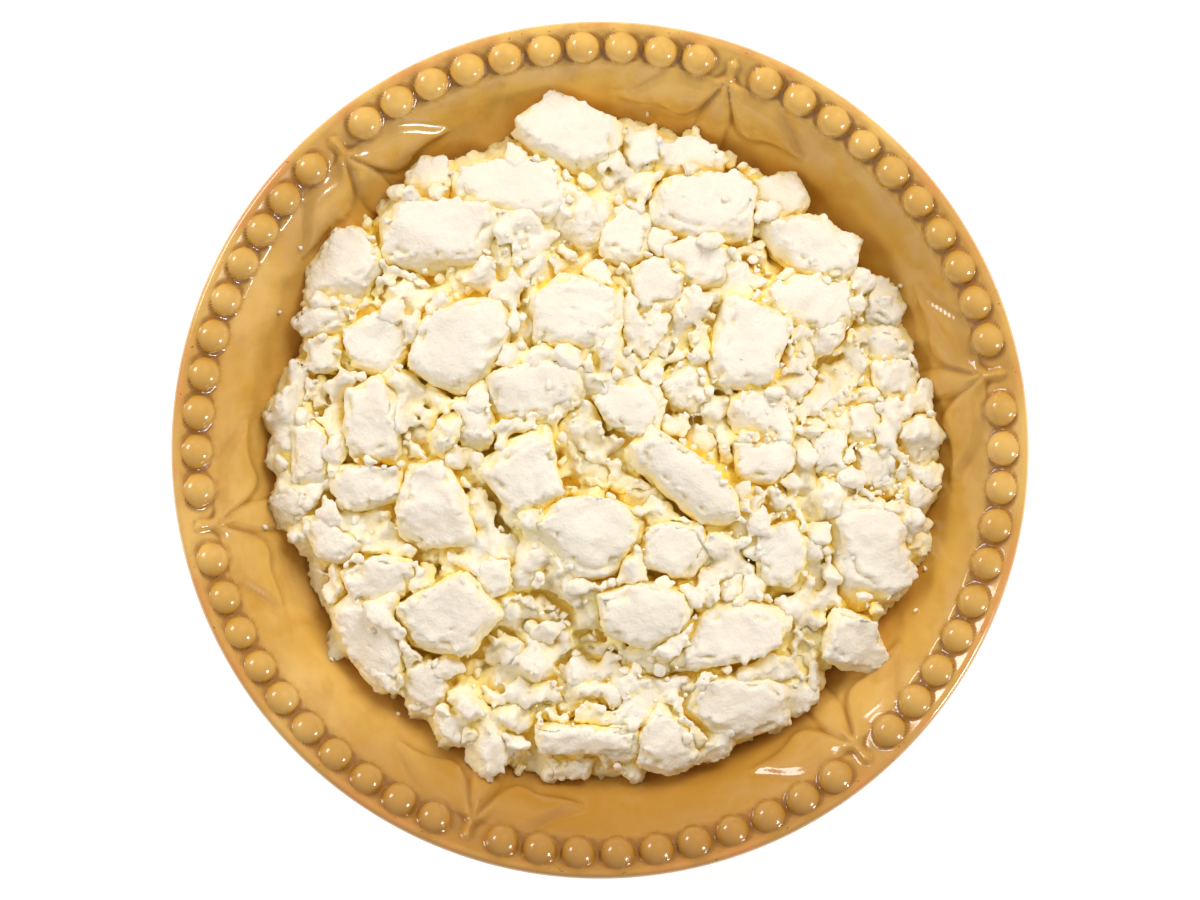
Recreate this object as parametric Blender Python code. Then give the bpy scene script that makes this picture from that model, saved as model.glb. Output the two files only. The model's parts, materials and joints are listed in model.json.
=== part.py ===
"""A round glazed stoneware bowl, heaped with crumbled goat cheese.

Two pieces: the bowl, thrown with a beaded rim, leaf sprigs and a foot ring, and
the heap of cheese that lies in it. Metres, +Z up. The origin is the middle of
the foot ring's underside. +X is right and +Y is up in a plan view.
"""
import math

import bmesh
import bpy
from mathutils import Matrix, Vector

MM = 0.001

# The bowl's inside, outside and foot
RIM_RADIUS = 90.0 * MM
LIP_HEIGHT = 55.0 * MM
LIP_ROUNDING = 1.6 * MM
WELL_RADIUS = 81.5 * MM
WELL_HEIGHT = 51.0 * MM
FLOOR_HEIGHT = 8.0 * MM
INNER_CURVE = 2.6
INNER_RINGS = (1.0, 0.93, 0.8, 0.68, 0.5, 0.28)
OUTER_TOP_RADIUS = 88.4 * MM
OUTER_TOP_HEIGHT = 49.5 * MM
OUTER_LOW_HEIGHT = 4.0 * MM
OUTER_CURVE = 2.9
FOOT_RADIUS = 41.0 * MM
FOOT_INNER_RADIUS = 34.0 * MM
FOOT_CHAMFER = 1.2 * MM
FOOT_JOIN_RADIUS = 43.0 * MM
RECESS_HEIGHT = 3.6 * MM
BOWL_SEGMENTS = 60

# The beads and leaf sprigs, in six equal spans round the rim
SPANS = 6
FIRST_STEM = math.radians(10.8)
BEADS_PER_SPAN = 10
BEAD_PITCH = math.radians(5.55)
BEAD_RADIUS = 3.4 * MM
BEAD_RING_RADIUS = 84.9 * MM
BEAD_HEIGHT = 52.6 * MM
LEAF_THICKNESS = 1.3 * MM
SIDE_LEAF = (17.0 * MM, 8.0 * MM)
SIDE_LEAF_RADIUS = 77.2 * MM
SIDE_LEAF_SWING = math.radians(9.0)
SIDE_LEAF_DROOP = math.radians(10.0)
MIDDLE_LEAF = (12.0 * MM, 6.6 * MM)
MIDDLE_LEAF_RADIUS = 73.8 * MM

# The heap of cheese
GAP = 0.35 * MM
LEAF_INNER_RADIUS = 69.0 * MM
HEAP_RADIUS = 67.0 * MM
HEAP_REACH = 79.0 * MM
HEAP_EDGE_HEIGHT = 38.5 * MM
HEAP_CROWN_HEIGHT = 50.0 * MM
HEAP_FALL = 2.4
LUMP_THICKNESS = 0.9
LUMP_CHAMFER = 0.24
HEAP_GRAIN = 1.5 * MM
HEAP_TRIANGLES_KEPT = 0.055
ABOVE_THE_HEAP = 75.0 * MM

# Each larger lump of cheese: middle x and y, length, width, turn in degrees,
# and how far it stands above the heap, in millimetres
LUMPS = [
    (-7.0, 68.5, 22.5, 15.0, -18, 11.0),
    (-19.0, 55.0, 25.0, 12.5, 3, 7.0),
    (-37.5, 58.0, 11.5, 11.0, 0, 7.0),
    (-35.0, 46.0, 26.0, 13.0, 2, 7.5),
    (-56.0, 39.5, 18.0, 16.0, 60, 7.5),
    (-47.5, 22.5, 15.0, 12.0, 25, 5.0),
    (-29.0, 22.5, 23.0, 19.5, 30, 6.5),
    (-49.0, 5.5, 17.0, 12.5, 85, 6.0),
    (-62.5, -0.5, 15.5, 9.0, 88, 6.0),
    (-26.0, 5.5, 13.0, 10.0, -60, 3.5),
    (-14.0, 13.0, 20.0, 13.0, 5, 5.0),
    (-50.5, -8.5, 16.5, 9.5, 5, 5.0),
    (-35.5, -11.5, 18.5, 15.5, 80, 6.5),
    (-17.0, -5.5, 21.0, 17.0, 60, 6.0),
    (-66.0, -11.5, 9.0, 8.0, 0, 5.0),
    (-57.5, -19.0, 13.0, 10.0, -25, 6.0),
    (-3.5, -18.5, 24.5, 16.5, 8, 6.0),
    (6.0, 11.0, 16.5, 11.5, -5, 5.0),
    (17.5, -6.0, 27.0, 13.5, -43, 6.5),
    (-5.0, 28.5, 20.0, 15.5, -12, 6.0),
    (33.5, 7.0, 11.0, 10.5, 0, 4.5),
    (34.5, -3.0, 14.0, 10.0, 10, 4.5),
    (44.5, 11.5, 11.5, 9.0, 80, 4.0),
    (60.0, -5.5, 13.0, 11.5, -30, 4.5),
    (61.5, 15.5, 12.0, 10.0, 20, 4.5),
    (59.0, -22.5, 25.0, 16.0, -68, 8.0),
    (38.5, -22.5, 14.0, 12.0, 70, 5.0),
    (16.0, -21.5, 15.0, 11.0, 0, 5.0),
    (-48.0, -28.0, 17.5, 10.0, 15, 6.0),
    (-50.5, -42.0, 22.0, 15.0, -58, 7.0),
    (-32.5, -35.5, 22.0, 18.5, -20, 8.0),
    (-37.5, -52.5, 17.0, 10.5, -65, 5.0),
    (-14.5, -41.0, 12.5, 11.0, 0, 4.5),
    (-20.5, -64.0, 11.0, 9.0, -70, 5.0),
    (-3.0, -62.5, 21.0, 8.5, -3, 7.0),
    (8.0, -35.5, 20.0, 14.5, -5, 6.5),
    (27.0, -40.0, 26.0, 15.0, 25, 7.0),
    (41.0, -45.5, 12.0, 11.5, 0, 6.0),
    (55.0, -42.5, 19.0, 15.0, -35, 10.0),
    (30.0, -56.0, 25.0, 11.5, -6, 7.5),
    (15.0, -62.0, 18.0, 13.5, -75, 8.0),
    (8.5, 64.0, 13.0, 9.0, -80, 6.0),
    (20.0, 62.5, 17.0, 8.0, -5, 6.0),
    (22.0, 52.0, 23.5, 13.5, -3, 7.0),
    (39.5, 54.5, 13.0, 10.5, 0, 6.5),
    (45.0, 43.5, 21.5, 12.0, -25, 7.5),
    (44.5, 31.0, 20.0, 10.5, -5, 5.0),
    (4.5, 45.0, 12.5, 11.5, 0, 4.5),
    (20.5, 39.0, 13.0, 10.0, 0, 3.5),
    (32.0, 23.0, 20.0, 15.0, 72, 6.0),
    (-8.5, 40.0, 11.0, 8.0, 30, 4.0),
    (10.5, 34.0, 13.0, 11.5, 60, 4.5),
    (12.5, 22.0, 12.0, 9.0, 0, 4.0),
    (-55.5, 12.0, 12.0, 10.0, 0, 5.0),
    (-59.5, 27.5, 13.0, 6.0, 3, 6.0),
    (-36.5, 4.0, 13.5, 9.5, 85, 3.0),
    (-48.0, -17.0, 9.0, 8.0, 20, 4.0),
    (-59.0, -27.5, 11.0, 9.5, 0, 5.0),
    (-23.0, -26.5, 10.0, 9.5, 0, 5.0),
    (-24.0, -48.5, 12.0, 8.0, 70, 4.0),
    (-13.0, -54.0, 13.0, 8.0, 0, 4.5),
    (-4.0, -49.0, 11.0, 8.0, 20, 4.5),
    (6.5, -50.5, 11.0, 9.5, 0, 4.5),
    (4.5, -63.5, 11.0, 8.5, 90, 5.5),
    (47.0, -33.0, 11.0, 8.0, 80, 5.0),
    (28.5, -25.5, 10.5, 10.0, 0, 4.0),
    (49.0, 0.0, 9.0, 8.5, 0, 4.5),
    (60.0, 30.0, 10.0, 8.0, 30, 4.5),
]


def material(name, colour, roughness):
    """A plain finish of one colour."""
    made = bpy.data.materials.new(name)
    made.use_nodes = True
    shader = made.node_tree.nodes["Principled BSDF"]
    shader.inputs["Base Color"].default_value = (*colour, 1.0)
    shader.inputs["Roughness"].default_value = roughness
    shader.inputs["Metallic"].default_value = 0.0
    return made


def add_object(name, mesh_data, finish):
    """Put a finished bmesh into the scene as one object."""
    mesh = bpy.data.meshes.new(name)
    mesh_data.to_mesh(mesh)
    mesh_data.free()
    mesh.materials.append(finish)
    mesh.shade_smooth()
    mesh.set_sharp_from_angle(angle=math.radians(35.0))
    made = bpy.data.objects.new(name, mesh)
    bpy.context.scene.collection.objects.link(made)
    return made


def stack_rings(rings, low_pole, high_pole):
    """Skin a stack of closed rings, bottom pole first, top pole last."""
    solid = bmesh.new()
    loops = [[solid.verts.new(point) for point in ring] for ring in rings]
    count = len(loops[0])
    for lower, upper in zip(loops, loops[1:]):
        for i in range(count):
            j = (i + 1) % count
            solid.faces.new((lower[i], lower[j], upper[j], upper[i]))
    low = solid.verts.new(low_pole)
    high = solid.verts.new(high_pole)
    for i in range(count):
        j = (i + 1) % count
        solid.faces.new((low, loops[0][j], loops[0][i]))
        solid.faces.new((high, loops[-1][i], loops[-1][j]))
    bmesh.ops.recalc_face_normals(solid, faces=solid.faces)
    return solid


def turned_solid(profile, low, high):
    """A solid turned from a profile of radius and height, closed by a pole at each end."""
    rings = []
    for radius, height in profile:
        rings.append([Vector((radius * math.cos(i * math.tau / BOWL_SEGMENTS),
                              radius * math.sin(i * math.tau / BOWL_SEGMENTS), height))
                      for i in range(BOWL_SEGMENTS)])
    return stack_rings(rings, Vector((0.0, 0.0, low)), Vector((0.0, 0.0, high)))


def inner_height(radius):
    """Height of the inner wall's surface at a radius."""
    rise = WELL_HEIGHT - FLOOR_HEIGHT
    return FLOOR_HEIGHT + rise * (radius / WELL_RADIUS) ** INNER_CURVE


def inner_slope(radius):
    """Rise over run of the inner wall at a radius."""
    rise = WELL_HEIGHT - FLOOR_HEIGHT
    return INNER_CURVE * rise / WELL_RADIUS * (radius / WELL_RADIUS) ** (INNER_CURVE - 1.0)


def wall_height(radius):
    """Height of the bowl's inner wall as it is turned, in flat steps between its rings."""
    rings = [(share * WELL_RADIUS, inner_height(share * WELL_RADIUS)) for share in INNER_RINGS]
    for (outer, high), (inner, low) in zip(rings, rings[1:]):
        if radius >= inner:
            break
    return low + (radius - inner) * (high - low) / (outer - inner)


def outer_height(radius):
    """Height of the outer wall's surface at a radius."""
    rise = OUTER_TOP_HEIGHT - OUTER_LOW_HEIGHT
    return OUTER_LOW_HEIGHT + rise * (radius / OUTER_TOP_RADIUS) ** OUTER_CURVE


def bowl_profile():
    """Radius and height from under the foot, up the outside, over the lip and down the inside."""
    profile = [
        (FOOT_INNER_RADIUS - FOOT_CHAMFER, RECESS_HEIGHT),
        (FOOT_INNER_RADIUS, FOOT_CHAMFER),
        (FOOT_INNER_RADIUS + FOOT_CHAMFER, 0.0),
        (FOOT_RADIUS - FOOT_CHAMFER, 0.0),
        (FOOT_RADIUS, FOOT_CHAMFER),
        (FOOT_RADIUS + 0.3 * MM, 0.75 * outer_height(FOOT_RADIUS)),
    ]
    outer_steps = 6
    for step in range(outer_steps + 1):
        share = step / outer_steps
        radius = FOOT_JOIN_RADIUS + (OUTER_TOP_RADIUS - FOOT_JOIN_RADIUS) * share ** 0.8
        profile.append((radius, outer_height(radius)))
    lip_middle = (RIM_RADIUS - LIP_ROUNDING, LIP_HEIGHT - LIP_ROUNDING)
    for degrees in (-35.0, 10.0, 50.0, 90.0):
        turn = math.radians(degrees)
        profile.append((lip_middle[0] + LIP_ROUNDING * math.cos(turn),
                        lip_middle[1] + LIP_ROUNDING * math.sin(turn)))
    profile += [(share * WELL_RADIUS, inner_height(share * WELL_RADIUS)) for share in INNER_RINGS]
    return profile


def on_wall(radius, angle):
    """A frame on the inner wall: X along the wall, Y up its slope, Z out of it."""
    slope = math.atan(inner_slope(radius))
    outward = Vector((math.cos(angle), math.sin(angle), 0.0))
    along = Vector((math.sin(angle), -math.cos(angle), 0.0))
    up_slope = outward * math.cos(slope) + Vector((0.0, 0.0, math.sin(slope)))
    out = along.cross(up_slope)
    place = outward * radius + Vector((0.0, 0.0, inner_height(radius)))
    turn = Matrix((along, up_slope, out)).transposed().to_4x4()
    return Matrix.Translation(place) @ turn


def add_leaf(relief, radius, angle, turn, size):
    """One raised almond leaf lying on the inner wall."""
    length, width = size
    scale = Matrix.Diagonal((length / 2.0, width / 2.0, LEAF_THICKNESS, 1.0))
    place = on_wall(radius, angle) @ Matrix.Rotation(turn, 4, "Z") @ scale
    lying = place @ Matrix.Rotation(math.pi / 2.0, 4, "Y")
    bmesh.ops.create_uvsphere(relief, u_segments=8, v_segments=5, radius=1.0, matrix=lying)


def build_relief(finish):
    """The beads round the rim and the six leaf sprigs, as one shape to unite with the bowl."""
    relief = bmesh.new()
    for span in range(SPANS):
        stem = FIRST_STEM + span * math.tau / SPANS
        first = stem + (math.tau / SPANS - (BEADS_PER_SPAN - 1) * BEAD_PITCH) / 2.0
        for bead in range(BEADS_PER_SPAN):
            angle = first + bead * BEAD_PITCH
            place = Vector((BEAD_RING_RADIUS * math.cos(angle),
                            BEAD_RING_RADIUS * math.sin(angle), BEAD_HEIGHT))
            turned = Matrix.Translation(place) @ Matrix.Rotation(angle, 4, "Z")
            bmesh.ops.create_uvsphere(relief, u_segments=8, v_segments=4,
                                      radius=BEAD_RADIUS, matrix=turned)
        for side in (-1, 1):
            add_leaf(relief, SIDE_LEAF_RADIUS, stem + side * SIDE_LEAF_SWING,
                     side * SIDE_LEAF_DROOP, SIDE_LEAF)
        add_leaf(relief, MIDDLE_LEAF_RADIUS, stem, math.pi / 2.0, MIDDLE_LEAF)
    made = add_object("relief_shape", relief, finish)
    made.hide_render = True
    made.display_type = "WIRE"
    return made


def build_bowl(finish):
    """The turned bowl with its beads and leaves united to it."""
    bowl = add_object("bowl", turned_solid(bowl_profile(), RECESS_HEIGHT, FLOOR_HEIGHT), finish)
    union = bowl.modifiers.new("beads and leaves", "BOOLEAN")
    union.operation = "UNION"
    union.solver = "EXACT"
    union.object = build_relief(finish)
    return bowl


def core_height(radius):
    """Height of the heap between its larger lumps."""
    fall = HEAP_CROWN_HEIGHT - HEAP_EDGE_HEIGHT
    return HEAP_CROWN_HEIGHT - fall * (radius / HEAP_RADIUS) ** HEAP_FALL


def add_lump(heap, lump):
    """One broken lump: a block with chamfered edges, leaning outwards as the heap falls away."""
    x, y, length, width, turn, stand = lump
    radius = math.hypot(x, y) * MM
    thickness = LUMP_THICKNESS * width
    height = core_height(radius) + (stand - thickness / 2.0) * MM
    lean = math.atan((core_height(radius) - core_height(radius + MM)) / MM)
    downhill = Vector((-y, x, 0.0))
    place = Matrix.Translation((x * MM, y * MM, height)) @ Matrix.Rotation(lean, 4, downhill)
    size = Matrix.Diagonal((length * MM, width * MM, thickness * MM, 1.0))
    block = bmesh.ops.create_cube(heap, size=1.0, matrix=place
                                  @ Matrix.Rotation(math.radians(turn), 4, "Z") @ size)
    edges = {edge for vert in block["verts"] for edge in vert.link_edges}
    bmesh.ops.bevel(heap, geom=list(edges), offset=LUMP_CHAMFER * width * MM,
                    segments=1, profile=0.5, affect="EDGES")


def bowl_space():
    """The space that the cheese may fill: just clear of the bowl and of the leaves on its wall."""
    turned_rings = [share * WELL_RADIUS for share in reversed(INNER_RINGS)]
    under_leaves = [radius for radius in turned_rings if radius < LEAF_INNER_RADIUS]
    under_leaves.append(LEAF_INNER_RADIUS - GAP)
    over_leaves = [radius for radius in turned_rings if LEAF_INNER_RADIUS < radius < HEAP_REACH]
    over_leaves = [LEAF_INNER_RADIUS, *over_leaves, HEAP_REACH]
    gaps = [(radius, GAP) for radius in under_leaves]
    gaps += [(radius, GAP + LEAF_THICKNESS) for radius in over_leaves]
    wall = [(radius, wall_height(radius) + gap * math.hypot(1.0, inner_slope(radius)))
            for radius, gap in gaps]
    return wall + [(HEAP_REACH, ABOVE_THE_HEAP)]


def build_heap(finish):
    """The heap of cheese: a dome with the larger lumps standing out of it."""
    steps = 8
    dome = [(HEAP_RADIUS * step / steps, 0.5 * FLOOR_HEIGHT) for step in range(1, steps + 1)]
    dome += [(HEAP_RADIUS * step / steps, core_height(HEAP_RADIUS * step / steps))
             for step in range(steps, 0, -1)]
    heap = turned_solid(dome, 0.5 * FLOOR_HEIGHT, HEAP_CROWN_HEIGHT)
    for lump in LUMPS:
        add_lump(heap, lump)
    made = add_object("cheese_heap", heap, finish)
    fuse = made.modifiers.new("fuse the lumps", "REMESH")
    fuse.mode = "VOXEL"
    fuse.voxel_size = HEAP_GRAIN
    thin = made.modifiers.new("fewer faces", "DECIMATE")
    thin.ratio = HEAP_TRIANGLES_KEPT
    space = add_object("space_shape", turned_solid(bowl_space(), FLOOR_HEIGHT + GAP, ABOVE_THE_HEAP),
                       finish)
    space.hide_render = True
    space.display_type = "WIRE"
    fit = made.modifiers.new("fit the bowl", "BOOLEAN")
    fit.operation = "INTERSECT"
    fit.solver = "EXACT"
    fit.object = space
    return made


for old in list(bpy.data.objects):
    bpy.data.objects.remove(old, do_unlink=True)

glaze = material("caramel_glaze", (0.58, 0.31, 0.075), 0.15)
cheese = material("goat_cheese", (0.93, 0.86, 0.72), 0.75)
build_bowl(glaze)
build_heap(cheese)
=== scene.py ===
"""The looks of a glazed stoneware bowl heaped with crumbled goat cheese."""

import json
import math

import bmesh
import bpy
import numpy as np
from mathutils import Euler, Matrix, Vector, noise

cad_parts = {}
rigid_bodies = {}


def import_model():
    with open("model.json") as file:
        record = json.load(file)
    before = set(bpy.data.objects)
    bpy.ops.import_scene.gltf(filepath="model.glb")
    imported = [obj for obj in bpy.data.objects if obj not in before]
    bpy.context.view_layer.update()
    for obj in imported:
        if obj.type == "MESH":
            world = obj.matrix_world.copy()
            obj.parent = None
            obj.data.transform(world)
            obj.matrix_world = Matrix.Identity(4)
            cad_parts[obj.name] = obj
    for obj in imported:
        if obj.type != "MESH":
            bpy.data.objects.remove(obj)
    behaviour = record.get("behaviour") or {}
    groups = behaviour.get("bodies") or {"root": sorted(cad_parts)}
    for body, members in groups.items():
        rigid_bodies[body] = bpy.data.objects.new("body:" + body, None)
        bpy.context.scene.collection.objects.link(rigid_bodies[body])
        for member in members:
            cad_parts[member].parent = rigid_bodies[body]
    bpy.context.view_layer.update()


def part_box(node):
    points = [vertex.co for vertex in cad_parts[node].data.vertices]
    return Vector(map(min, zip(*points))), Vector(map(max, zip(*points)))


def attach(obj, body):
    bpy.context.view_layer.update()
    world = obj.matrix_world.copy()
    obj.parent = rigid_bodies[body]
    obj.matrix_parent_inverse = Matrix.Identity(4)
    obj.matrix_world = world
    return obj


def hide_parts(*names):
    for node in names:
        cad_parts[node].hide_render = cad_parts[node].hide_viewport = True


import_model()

MM = 0.001


# The view and the light. The bowl is looked at from straight above, with the whole rim in
# the frame. Two wide soft lights stand at the upper right and the left, and a window and a
# small lamp show as two glints in every bead.
FRAME_WIDTH_PX = 1200
RIM_ACROSS_PX = 859
SENSOR_WIDTH = 36.0
CAMERA_ABOVE_LIP = 0.95
LIP_HEIGHT = 55.0 * MM
NEAREST_SEEN = 0.01
LIGHT_BOUNCES = 8
SKY_COLOUR, SKY_STRENGTH = (1.0, 0.99, 0.975, 1.0), 0.38

rim_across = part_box("bowl")[1].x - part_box("bowl")[0].x
view_width = rim_across * FRAME_WIDTH_PX / RIM_ACROSS_PX
bpy.ops.object.camera_add(location=(0.0, 0.0, LIP_HEIGHT + CAMERA_ABOVE_LIP),
                          rotation=(0.0, 0.0, 0.0))
camera = bpy.context.object
camera.name = "camera"
camera.data.sensor_width = SENSOR_WIDTH
camera.data.lens = SENSOR_WIDTH * CAMERA_ABOVE_LIP / view_width
camera.data.clip_start = NEAREST_SEEN
bpy.context.scene.camera = camera
bpy.context.scene.view_settings.view_transform = "Standard"
bpy.context.scene.cycles.diffuse_bounces = LIGHT_BOUNCES


def way_of(turn, rise):
    """A direction, by its compass angle and its height angle."""
    return Vector((math.cos(turn) * math.cos(rise), math.sin(turn) * math.cos(rise), math.sin(rise)))


def softbox(name, azimuth, elevation, distance, size, watts, colour, glints=True):
    """A soft light aimed at the bowl from a compass and a height angle, which may glint in the glaze."""
    place = distance * way_of(math.radians(azimuth), math.radians(elevation))
    bpy.ops.object.light_add(type="AREA", location=place)
    lamp = bpy.context.object
    lamp.name = name
    lamp.rotation_euler = place.to_track_quat("Z", "Y").to_euler()
    lamp.data.shape = "RECTANGLE"
    lamp.data.size, lamp.data.size_y = size
    lamp.data.energy = watts
    lamp.data.color = colour
    lamp.visible_glossy = glints


softbox("key_softbox", 60.0, 46.0, 1.3, (0.7, 0.7), 13.2, (1.0, 0.985, 0.96), glints=False)
softbox("window", 150.0, 30.0, 1.2, (0.42, 0.30), 3.4, (0.98, 0.98, 1.0))
softbox("side_softbox", 178.0, 38.0, 1.2, (0.50, 0.50), 4.3, (1.0, 0.98, 0.95), glints=False)
softbox("lamp", -32.0, 20.0, 1.1, (0.22, 0.22), 3.9, (1.0, 0.98, 0.95))

sky = bpy.data.worlds.new("studio")
bpy.context.scene.world = sky
sky.use_nodes = True
sky.node_tree.nodes["Background"].inputs["Color"].default_value = SKY_COLOUR
sky.node_tree.nodes["Background"].inputs["Strength"].default_value = SKY_STRENGTH


# The floor: a plain white table top, lit through like a light table so that it stays pale.
FLOOR_ACROSS = 4.0
FLOOR_WHITE, FLOOR_GLOW = (0.6, 0.6, 0.6, 1.0), 0.68

bpy.ops.object.select_all(action="DESELECT")
bpy.ops.mesh.primitive_plane_add(size=FLOOR_ACROSS)
floor = bpy.context.object
floor.name = "floor"
floor_finish = bpy.data.materials.new("white_table")
floor_finish.use_nodes = True
floor_shader = floor_finish.node_tree.nodes["Principled BSDF"]
floor_shader.inputs["Base Color"].default_value = FLOOR_WHITE
floor_shader.inputs["Roughness"].default_value = 0.9
floor_shader.inputs["Emission Color"].default_value = (1.0, 1.0, 1.0, 1.0)
floor_shader.inputs["Emission Strength"].default_value = FLOOR_GLOW
floor.data.materials.append(floor_finish)


# The bowl: stoneware turned on a wheel, with a row of beads moulded inside its lip and
# six leaf sprigs pressed on its inner wall, dipped in a caramel glaze and fired standing
# on a bare foot ring.
WELL_RADIUS, WELL_HEIGHT = 81.5 * MM, 51.0 * MM
INSIDE_FLOOR, INNER_CURVE = 8.0 * MM, 2.6
LIP_RADIUS, LIP_ROUNDING = 90.0 * MM, 1.6 * MM
BAND_CURVE = 1.35
OUTER_TOP_RADIUS, OUTER_TOP_HEIGHT = 88.4 * MM, 49.5 * MM
OUTER_LOW_HEIGHT, OUTER_CURVE = 4.0 * MM, 2.9
FOOT_RADIUS, FOOT_INNER_RADIUS, FOOT_ROUNDING = 41.0 * MM, 34.0 * MM, 1.2 * MM
RECESS_HEIGHT = 3.6 * MM
STEPS_ROUND = 1038
SPRIGS = 6
FIRST_STEM = math.radians(10.8)
BEADS_PER_SPAN = 10
BEAD_PITCH = 16 * math.tau / STEPS_ROUND
BEAD_RADIUS, BEAD_RING_RADIUS, BEAD_HEIGHT = 3.6 * MM, 84.85 * MM, 52.5 * MM
LEAF_HEIGHT = 1.15 * MM
ARC_PER_DEGREE = 1.344 * MM
OFF_THE_LEAF = -9.0 * MM
WOBBLE = 0.12 * MM
# Stations along a leaf, and its middle line and half-width at each, in millimetres.
SIDE_LEAF = ((0.3, 2.0, 4.0, 6.5, 9.0, 12.0, 15.0, 18.0, 22.5),
             (83.2, 80.7, 78.5, 77.2, 77.0, 77.3, 76.7, 75.8, 75.2),
             (0.9, 1.5, 2.5, 3.6, 3.9, 3.3, 2.4, 1.4, 0.0))
MIDDLE_LEAF = ((58.0, 63.0, 67.0, 71.0, 75.0, 78.5, 81.0, 83.0), (0.0,) * 8,
               (0.0, 1.6, 3.0, 3.7, 3.2, 2.0, 1.1, 0.7))
GLAZE_DARK, GLAZE_PALE = (0.565, 0.303, 0.050), (0.715, 0.435, 0.112)
# Painted shade for the front wall and painted light for the back wall.
FRONT_WALL_PAINTED_SHADE, BACK_WALL_PAINTED_LIGHT = (0.40, 0.185, 0.024), (0.78, 0.47, 0.105)
STREAK_BROWN, POOLED_BROWN = (0.46, 0.215, 0.027), (0.30, 0.115, 0.008)
# Painted shade: a darker multiply over the outside wall, against the light bounced from the bright
# floor.
THIN_TAN, OUTSIDE_PAINTED_SHADE = (0.62, 0.38, 0.13), (0.70, 0.66, 0.46)
BURNT_LIP, IRON_SPECK = (0.60, 0.235, 0.058), (0.17, 0.045, 0.008)
CLAY_PALE, CLAY_DARK = (0.56, 0.42, 0.27), (0.44, 0.30, 0.17)


def inner_height(radius):
    """Height of the inner wall at a radius."""
    return INSIDE_FLOOR + (WELL_HEIGHT - INSIDE_FLOOR) * (radius / WELL_RADIUS) ** INNER_CURVE


def outer_height(radius):
    """Height of the outer wall at a radius."""
    rise = OUTER_TOP_HEIGHT - OUTER_LOW_HEIGHT
    return OUTER_LOW_HEIGHT + rise * (radius / OUTER_TOP_RADIUS) ** OUTER_CURVE


def arc(middle, rounding, start, end, steps):
    """Points of radius and height along a round corner."""
    points = []
    for step in range(steps + 1):
        turn = math.radians(start + (end - start) * step / steps)
        points.append((middle[0] + rounding * math.cos(turn), middle[1] + rounding * math.sin(turn)))
    return points


def bowl_profile():
    """From the middle of the recess over the foot, up the outside, over the lip and down the inside."""
    points = [(0.0, RECESS_HEIGHT)]
    points += [(share * FOOT_INNER_RADIUS, RECESS_HEIGHT) for share in (0.4, 0.8, 0.93)]
    points += arc((FOOT_INNER_RADIUS + FOOT_ROUNDING, FOOT_ROUNDING), FOOT_ROUNDING, 190, 270, 3)
    points += arc((FOOT_RADIUS - FOOT_ROUNDING, FOOT_ROUNDING), FOOT_ROUNDING, 270, 355, 3)
    join = outer_height(FOOT_RADIUS + 2.0 * MM)
    points += [(FOOT_RADIUS + 0.15 * MM, 0.62 * join), (FOOT_RADIUS + 0.5 * MM, 0.86 * join)]
    outer_steps = 14
    for step in range(outer_steps + 1):
        share = (step / outer_steps) ** 0.8
        radius = FOOT_RADIUS + 2.0 * MM + (OUTER_TOP_RADIUS - FOOT_RADIUS - 2.0 * MM) * share
        points.append((radius, outer_height(radius)))
    points += arc((LIP_RADIUS - LIP_ROUNDING, LIP_HEIGHT - LIP_ROUNDING), LIP_ROUNDING, -40, 84, 7)
    band_steps = 19
    for step in range(1, band_steps + 1):
        share = step / band_steps
        radius = LIP_RADIUS - LIP_ROUNDING + share * (WELL_RADIUS - LIP_RADIUS + LIP_ROUNDING)
        points.append((radius, WELL_HEIGHT + (1.0 - share) ** BAND_CURVE * (LIP_HEIGHT - WELL_HEIGHT)))
    leaf_steps, bare_steps = 30, 6
    deepest_leaf = 65.0 * MM
    for step in range(1, leaf_steps + 1):
        radius = WELL_RADIUS + (deepest_leaf - WELL_RADIUS) * step / leaf_steps
        points.append((radius, inner_height(radius)))
    for step in range(1, bare_steps + 1):
        radius = deepest_leaf * (1.0 - step / (bare_steps + 0.5))
        points.append((radius, inner_height(radius)))
    return points + [(0.0, INSIDE_FLOOR)]


def pull(step):
    """Extrude what is selected by a step."""
    bpy.ops.mesh.extrude_region_move(TRANSFORM_OT_translate={"value": step})


def throw_bowl():
    """Draw the profile as a chain of points and spin it once round the bowl's axis."""
    profile = bowl_profile()
    across = Vector((math.cos(FIRST_STEM), math.sin(FIRST_STEM), 0.0))
    bpy.ops.object.select_all(action="DESELECT")
    bpy.ops.mesh.primitive_plane_add(size=MM, location=(0.0, 0.0, profile[0][1]))
    made = bpy.context.object
    bpy.ops.object.transform_apply(location=True, rotation=False, scale=False)
    bpy.ops.object.mode_set(mode="EDIT")
    bpy.ops.mesh.merge(type="CENTER")
    for (radius, height), (next_radius, next_height) in zip(profile, profile[1:]):
        pull(across * (next_radius - radius) + Vector((0.0, 0.0, next_height - height)))
    bpy.ops.mesh.select_all(action="SELECT")
    bpy.ops.mesh.spin(steps=STEPS_ROUND, angle=math.tau, center=(0.0, 0.0, 0.0), axis=(0.0, 0.0, 1.0))
    bpy.ops.mesh.select_all(action="SELECT")
    bpy.ops.mesh.remove_doubles(threshold=0.002 * MM)
    bpy.ops.mesh.normals_make_consistent(inside=False)
    bpy.ops.object.mode_set(mode="OBJECT")
    return made


def read_all(items, name, width=3, kind=float):
    """One property of all the items, as an array with a row for each."""
    values = np.empty(len(items) * width, kind)
    items.foreach_get(name, values)
    return values.reshape(-1, width)


def points_of(mesh):
    """The places of a mesh's points."""
    return read_all(mesh.vertices, "co")


def move_points(mesh, places):
    """Put a mesh's points where the array says."""
    mesh.vertices.foreach_set("co", places.astype(np.float32).ravel())
    mesh.update()


def smooth_step(low, high, value):
    """0 below low, 1 above high, and a smooth ramp between."""
    share = np.clip((value - low) / (high - low), 0.0, 1.0)
    return share * share * (3.0 - 2.0 * share)


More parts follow.
